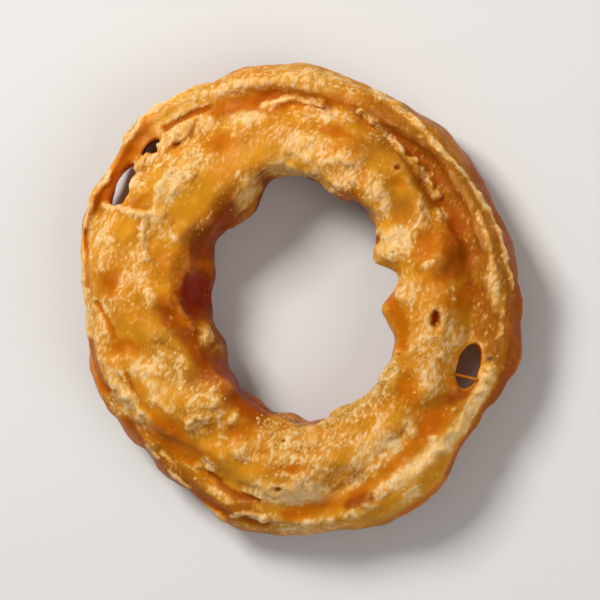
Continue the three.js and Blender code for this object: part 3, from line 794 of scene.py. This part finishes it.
@dataclass
class Skin:
    """A mesh whose points are read and moved as an array, in millimetres."""

    mesh: Mesh

    def __post_init__(self) -> None:
        """Reads the mesh's points and the ends of its edges."""
        self.points = rows(self.mesh.vertices, "co", 3) / MM
        self.ends = rows(self.mesh.edges, "vertices", 2, int)

    def normals(self) -> Points:
        """The direction that each point faces."""
        return rows(self.mesh.vertices, "normal", 3)

    def tint(self) -> Points:
        """The linear colour that was noted for each point."""
        return rows(self.mesh.attributes["tint"].data, "color", 4)[:, :3]

    def write(self) -> None:
        """Puts the points back in the mesh."""
        self.mesh.vertices.foreach_set("co", (self.points * MM).ravel())
        self.mesh.update()

    def hollowness(self, rounds: int) -> Values:
        """How far each point lies below its neighbourhood, in millimetres.

        Args:
            rounds: How many times the neighbourhood is widened.

        Returns:
            Positive in hollows, negative on bumps.
        """
        degree = np.bincount(self.ends.ravel(), minlength=len(self.points))
        around = self.points.copy()
        for _ in range(rounds):
            for axis in range(3):
                there = np.bincount(self.ends[:, 0], around[self.ends[:, 1], axis], len(around))
                back = np.bincount(self.ends[:, 1], around[self.ends[:, 0], axis], len(around))
                around[:, axis] = (there + back) / degree
        return ((around - self.points) * self.normals()).sum(axis=1)

    def note(self, name: str, values: Values) -> None:
        """Notes a trait of each point for the material, from 0 to 1."""
        trait = self.mesh.attributes.new(name, "FLOAT", "POINT")
        trait.data.foreach_set("value", np.clip(values, 0, 1).astype(np.float32))

    def note_tint(self, colours: Points) -> None:
        """Notes the colour of each point for the material.

        Args:
            colours: The linear colour of each point.
        """
        trait = self.mesh.attributes.new("tint", "FLOAT_COLOR", "POINT")
        full = np.column_stack((np.clip(colours, 0, 1), np.ones(len(colours))))
        trait.data.foreach_set("color", full.astype(np.float32).ravel())


class Wave(NamedTuple):
    """One kind of unevenness of the batter: how wide and how high it is, in millimetres."""

    size: float
    height: float


@dataclass
class Coat:
    """The batter at each point: its tint, its crust, and how much it is on a wall."""

    tint: Points
    crust: Values
    inner_wall: Values
    torn_wall: Values


@dataclass
class CrustedRing:
    """The ring itself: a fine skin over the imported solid, with the batter sculpted into it."""

    look_down: LookDown
    voxel: float = 0.346
    rounding: int = 13
    seed: int = 7
    fillings: int = 3
    thin_colour: str = "#CC7C14"
    ripe_colour: str = "#CE8A18"
    # Sideways-facing batter is darker: partly browning, partly painted shade.
    side_browning_and_shade_colour: str = "#924200"
    # Painted shade on the hole's inner wall.
    inner_wall_shade_colour: str = "#7C2400"
    # A painted glow on the tears' thin walls.
    torn_wall_glow_colour: str = "#F0A030"
    # The tips' pale tint: partly dry crust, partly painted highlight.
    tip_crust_and_highlight_colour: str = "#F0BE70"
    swell: Wave = Wave(4.2, 0.21)
    ripple: Wave = Wave(2.1, 0.13)
    flake: Wave = Wave(1.9, 0.06)
    crinkle: Wave = Wave(0.8, 0.07)
    bead: Wave = Wave(1, 0.12)
    film: Wave = Wave(1.3, 0.04)
    slant: float = 65.0
    squeeze: float = 0.4

    def grow_skin(self, solid: Object) -> Object:
        """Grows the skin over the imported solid.

        Args:
            solid: The CAD node, which is left as it is.

        Returns:
            The new object, at the origin.
        """
        piece = bpy.data.objects.new("fried_batter_ring", solid.data.copy())
        bpy.context.scene.collection.objects.link(piece)
        bpy.ops.object.select_all(action="DESELECT")
        piece.select_set(True)
        bpy.context.view_layer.objects.active = piece
        bpy.ops.object.mode_set(mode="EDIT")
        bpy.ops.mesh.select_all(action="SELECT")
        bpy.ops.mesh.remove_doubles(threshold=WELD)
        bpy.ops.object.mode_set(mode="OBJECT")
        remesh = piece.modifiers.new("skin", "REMESH")
        remesh.mode = "VOXEL"
        remesh.voxel_size = self.voxel * MM
        soften = piece.modifiers.new("soften", "SMOOTH")
        soften.factor, soften.iterations = 0.5, self.rounding
        for name in [each.name for each in piece.modifiers]:
            bpy.ops.object.modifier_apply(modifier=name)
        bpy.ops.object.shade_smooth()
        return piece

    def _plain_coat(self, skin: Skin, noise: Noise) -> Coat:
        """Coats the ring as it is where nothing particular is seen: sides darker, partly browning and partly
        painted shade, painted shade on the hole's inner wall and a painted glow on the tears' walls.

        Args:
            skin: The ring's skin.
            noise: The noise that the coat varies with.

        Returns:
            The coat.
        """
        points, normals = skin.points, skin.normals()
        broad = noise.hills(points, 6) + 0.5 * noise.hills(points, 2.6)
        ripe = smooth_step(-0.5, 0.5, noise.hills(points + 40, 5))
        radial = points[:, :2] / np.linalg.norm(points[:, :2], axis=1, keepdims=True)
        outward = (normals[:, :2] * radial).sum(axis=1)
        side = smooth_step(0.55, -0.1, normals[:, 2])
        inner = side * smooth_step(0.2, -0.3, outward)
        torn = np.max([tear.wall(points, normals) for tear in TEARS], axis=0)
        tint = np.tile(linear(self.thin_colour)[:3], (len(points), 1))
        tint = mixed(tint, self.ripe_colour, ripe)
        # Sides darker: partly browning, partly painted shade.
        tint = mixed(tint, self.side_browning_and_shade_colour, 0.85 * side)
        # Painted shade on the hole's inner wall.
        tint = mixed(tint, self.inner_wall_shade_colour, 0.9 * inner)
        # The tears' thin walls get a painted glow.
        tint = mixed(tint, self.torn_wall_glow_colour, torn)
        crust = (0.15 + 0.7 * smooth_step(-0.4, 0.5, broad)) * (1 - 0.7 * side)
        return Coat(tint, crust, inner, torn)

    def _unevenness(self, points: Points, crust: Values, noise: Noise) -> Values:
        """Draws the batter's unevenness: slanting crags where the crust is dense, else a smooth film.

        Args:
            points: The skin's points.
            crust: How dense the crust is at each point.
            noise: The noise that it is drawn with.

        Returns:
            How far it raises or sinks each point.
        """
        slant = math.radians(self.slant)
        along = np.array((math.cos(slant), math.sin(slant), 0))
        slanted = points - self.squeeze * (points @ along)[:, None] * along
        swell = self.swell.height * noise.hills(points, self.swell.size)
        swell += self.ripple.height * noise.hills(points + 5, self.ripple.size)
        flakes = noise.hills(slanted, self.flake.size) + 0.4 * noise.hills(slanted, 0.9)
        crags = self.flake.height * (smooth_step(-0.1, 0.2, flakes) - 0.5)
        crags += self.crinkle.height * noise.hills(points, self.crinkle.size)
        crags += self.bead.height * noise.beads(slanted, self.bead.size)
        film = self.film.height * noise.hills(points, self.film.size)
        return swell + crust * crags + (1 - crust) * film

    def _fry(self, skin: Skin, coat: Coat) -> None:
        """Finds the hollows, which the material darkens with painted shade, and the tips, which get a pale
        tint that is partly dry crust and partly painted highlight, and notes the fried coat for the
        material.

        Args:
            skin: The ring's skin in its final shape.
            coat: The coat.
        """
        fine, wide = skin.hollowness(4), skin.hollowness(30)
        hollow = 0.7 * smooth_step(0.02, 0.16, fine) + 0.6 * smooth_step(0.1, 0.7, wide)
        tips = smooth_step(0.02, 0.14, -fine) * (0.3 + 0.7 * coat.crust)
        # Painted shade for the hollows: less under dense crust, and none on the tears' walls.
        filled = 0.5 * smooth_step(0.5, 1, coat.crust)
        skin.note("crust", coat.crust + 0.25 * tips)
        skin.note("hollow", hollow * (1 - filled) * (1 - coat.torn_wall))
        # Crests get a pale tint: partly dry crust, partly painted highlight.
        skin.note_tint(mixed(coat.tint, self.tip_crust_and_highlight_colour, 0.5 * tips * (1 - coat.inner_wall)))

    def sculpt(self, piece: Object, box: Box) -> None:
        """Sculpts the batter into the skin.

        Args:
            piece: The ring with its skin.
            box: What the ring keeps within.
        """
        skin = Skin(piece.data)
        noise = Noise(self.seed)
        seen = self.look_down.seen(skin.points)
        facing = smooth_step(-0.1, 0.25, skin.normals() @ np.array(self.look_down.back()))
        ragged = 0.35 * noise.hills(skin.points, 2.2) + 0.2 * noise.hills(skin.points, 0.9)

        valleys = facing * np.max([valley.cover(seen, ragged) for valley in FILLED], axis=0)
        for _ in range(self.fillings):
            depth = np.maximum(skin.hollowness(40), 0) * valleys
            skin.points += skin.normals() * depth[:, None]
            skin.write()

        coat = self._plain_coat(skin, noise)
        broken = 0.35 + 1.2 * smooth_step(-0.4, 0.4, noise.hills(skin.points + 20, 1.6))
        height = np.zeros(len(seen))
        for feature in FEATURES:
            look = feature.kind.value
            cover = feature.cover(seen, ragged) * facing
            height += feature.rise * cover * (broken if feature.rise > 0 else 1)
            coat.crust += (look.crust - coat.crust) * cover
            coat.tint = mixed(coat.tint, look.colour, 0.85 * cover)

        height += self._unevenness(skin.points, coat.crust, noise)
        normals = skin.normals()
        height *= 1 - 0.5 * smooth_step(-0.3, -0.9, normals[:, 2])
        skin.points += normals * height[:, None]
        np.clip(skin.points, *box, out=skin.points)
        skin.write()
        self._fry(skin, coat)

    def build(self, solid: Object, box: Box, material: Material) -> Object:
        """Makes the ring.

        Args:
            solid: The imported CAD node.
            box: What the ring keeps within.
            material: The batter.

        Returns:
            The finished ring.
        """
        piece = self.grow_skin(solid)
        self.sculpt(piece, box)
        piece.data.materials.clear()
        piece.data.materials.append(material)
        LOG.info("%s: %d faces", piece.name, len(piece.data.polygons))
        return piece


@dataclass
class CrustBeads:
    """Round beads of batter, a few tenths of a millimetre across, half sunk in the crust."""

    look_down: LookDown
    count: int = 420
    seed: int = 11
    stray: float = 0.003
    radii: tuple[float, float] = (0.18, 0.32)
    spread: tuple[float, float] = (0.8, 1.25)
    squash: tuple[float, float] = (0.75, 1.2)
    sunk: float = 0.5
    pale_colour: str = "#F0C47C"
    paleness: tuple[float, float] = (0.1, 0.6)
    crust: float = 0.3

    def build(self, ring: Object, box: Box, material: Material) -> Object:
        """Makes the beads as one piece.

        Args:
            ring: The finished ring that they stand on.
            box: What they keep within.
            material: Their batter.

        Returns:
            The finished beads.
        """
        rng = np.random.default_rng(self.seed)
        skin = Skin(ring.data)
        seen = self.look_down.seen(skin.points)
        smooth = np.zeros(len(seen))
        dense = np.full(len(seen), self.stray)
        for place, share in BEADED:
            dense = np.maximum(dense, share * place.cover(seen, smooth) ** 2)
        dense *= smooth_step(0.1, 0.5, skin.normals() @ np.array(self.look_down.back()))
        chosen = rng.choice(len(seen), self.count, replace=False, p=dense / dense.sum())

        bpy.ops.mesh.primitive_uv_sphere_add(segments=8, ring_count=5, radius=1)
        ball = bpy.context.object
        corners = np.array([corner.co[:] for corner in ball.data.vertices])
        faces = [list(face.vertices) for face in ball.data.polygons]
        bpy.ops.object.delete()

        radius = rng.uniform(*self.radii, self.count) * rng.uniform(*self.spread, self.count)
        centre = skin.points[chosen] - skin.normals()[chosen] * (self.sunk * radius)[:, None]
        centre = np.clip(centre, box[0] + radius[:, None], box[1] - radius[:, None])
        squash = rng.uniform(*self.squash, (self.count, 1, 3))
        points = centre[:, None, :] + corners[None] * squash * radius[:, None, None]
        points = np.clip(points, *box)
        starts = range(0, self.count * len(corners), len(corners))
        shells = [[corner + start for corner in face] for start in starts for face in faces]
        mesh = bpy.data.meshes.new("crust_beads")
        mesh.from_pydata((points * MM).reshape(-1, 3).tolist(), [], shells)
        mesh.polygons.foreach_set("use_smooth", [True] * len(mesh.polygons))
        piece = bpy.data.objects.new("crust_beads", mesh)
        bpy.context.scene.collection.objects.link(piece)

        beads = Skin(mesh)
        pale = rng.uniform(*self.paleness, self.count)
        tint = mixed(skin.tint()[chosen], self.pale_colour, pale)
        beads.note_tint(np.repeat(tint, len(corners), axis=0))
        beads.note("crust", np.full(len(beads.points), self.crust))
        beads.note("hollow", np.zeros(len(beads.points)))
        mesh.materials.append(material)
        LOG.info("%s: %d beads", piece.name, self.count)
        return piece


@dataclass
class BatterThread:
    """A thread of batter that hangs across the tear at the right."""

    look_down: LookDown
    start: tuple[float, float] = (22, -10.2)
    end: tuple[float, float] = (25.7, -11.4)
    radius: float = 0.2
    run: tuple[float, float] = (1.2, -0.3)
    sag: float = 0.35
    colour: str = "#B06414"
    crust: float = 0.2

    def build(self, ring: Object, material: Material) -> Object:
        """Makes the thread.

        Args:
            ring: The finished ring, whose skin it hangs from.
            material: Its batter.

        Returns:
            The finished thread.
        """
        skin = Skin(ring.data)
        seen = self.look_down.seen(skin.points)
        hidden = 20.0 * (skin.normals() @ np.array(self.look_down.back()) < 0.5)
        nearest = [np.linalg.norm(seen - spot, axis=1) + hidden for spot in (self.start, self.end)]
        holds = [skin.points[np.argmin(away)] for away in nearest]
        bpy.ops.curve.primitive_bezier_curve_add()
        piece = bpy.context.object
        piece.name = "batter_thread"
        for knot, hold, slope in zip(piece.data.splines[0].bezier_points, holds, (-1, 1)):
            pull = Vector((*self.run, self.sag * slope)) * MM
            knot.handle_left_type = knot.handle_right_type = "FREE"
            knot.co = Vector(hold) * MM
            knot.handle_right = knot.co + pull
            knot.handle_left = knot.co - pull
        piece.data.bevel_depth = self.radius * MM
        piece.data.use_fill_caps = True
        bpy.ops.object.convert(target="MESH")
        bpy.ops.object.shade_smooth()
        thread = Skin(piece.data)
        thread.note_tint(np.tile(linear(self.colour)[:3], (len(thread.points), 1)))
        thread.note("crust", np.full(len(thread.points), self.crust))
        thread.note("hollow", np.zeros(len(thread.points)))
        piece.data.materials.append(material)
        LOG.info("%s: %d faces", piece.name, len(piece.data.polygons))
        return piece


@dataclass(frozen=True)
class MattLaminate:
    """Melamine laminate pressed matt: one even pale colour, on which lights blur and nothing mirrors."""

    name: str = "pale_matt_laminate"
    colour: str = "#E0DDD8"
    roughness: float = 0.7

    def build(self) -> Material:
        """Makes the material.

        Returns:
            The finished material.
        """
        material = bpy.data.materials.new(self.name)
        material.use_nodes = True
        surface = material.node_tree.nodes["Principled BSDF"]
        surface.inputs["Base Color"].default_value = linear(self.colour)
        surface.inputs["Roughness"].default_value = self.roughness
        return material


@dataclass(frozen=True)
class Softbox:
    """A square soft light that faces the ring: where it stands, its side and its power in watts."""

    name: str
    place: tuple[float, float, float]
    size: float
    power: float

    def build(self) -> None:
        """Places the light."""
        stand = Vector(self.place) * MM
        bpy.ops.object.light_add(type="AREA", location=stand)
        lamp = bpy.context.object
        lamp.name = self.name
        lamp.rotation_euler = (-stand).to_track_quat("-Z", "Y").to_euler()
        lamp.data.size = self.size * MM
        lamp.data.energy = self.power


@dataclass(frozen=True)
class Studio:
    """A plain pale table top, a key light from the upper left and a weaker one from the lower right."""

    table_size: float = 3000.0
    sky: float = 0.2
    lamps: tuple[Softbox, ...] = (
        Softbox("key_softbox", (-240, 300, 420), 190, 3),
        Softbox("fill_softbox", (380, -180, 400), 400, 1),
    )

    def _table(self) -> None:
        """Makes the table top, which isn't part of the food."""
        bpy.ops.mesh.primitive_plane_add(size=self.table_size * MM)
        table = bpy.context.object
        table.name = "table_top"
        table.data.materials.append(MattLaminate().build())

    def build(self) -> None:
        """Sets up the table, the lamps and the light of the room."""
        self._table()
        for lamp in self.lamps:
            lamp.build()
        world = bpy.data.worlds.new("room")
        world.use_nodes = True
        world.node_tree.nodes["Background"].inputs["Color"].default_value = (1, 1, 1, 1)
        world.node_tree.nodes["Background"].inputs["Strength"].default_value = self.sky
        scene = bpy.context.scene
        scene.world = world
        scene.view_settings.view_transform = "Standard"


def main() -> None:
    """Builds the camera, the ring and the studio in order."""
    logging.basicConfig(level=logging.INFO, format="%(name)s: %(message)s")
    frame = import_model()
    look_down = LookDown()
    look_down.build()
    box = tuple(np.array(corner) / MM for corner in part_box(RING_NODE))
    ring = CrustedRing(look_down).build(frame["nodes"][RING_NODE], box, FriedBatter().build())
    crisp = FriedBatter(name="crisp_fried_batter", translucence=0).build()
    beads = CrustBeads(look_down).build(ring, box, crisp)
    thread = BatterThread(look_down).build(ring, crisp)
    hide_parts(RING_NODE)
    for piece in (ring, beads, thread):
        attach(piece, "root")
    Studio().build()


if __name__ == "__main__":
    main()
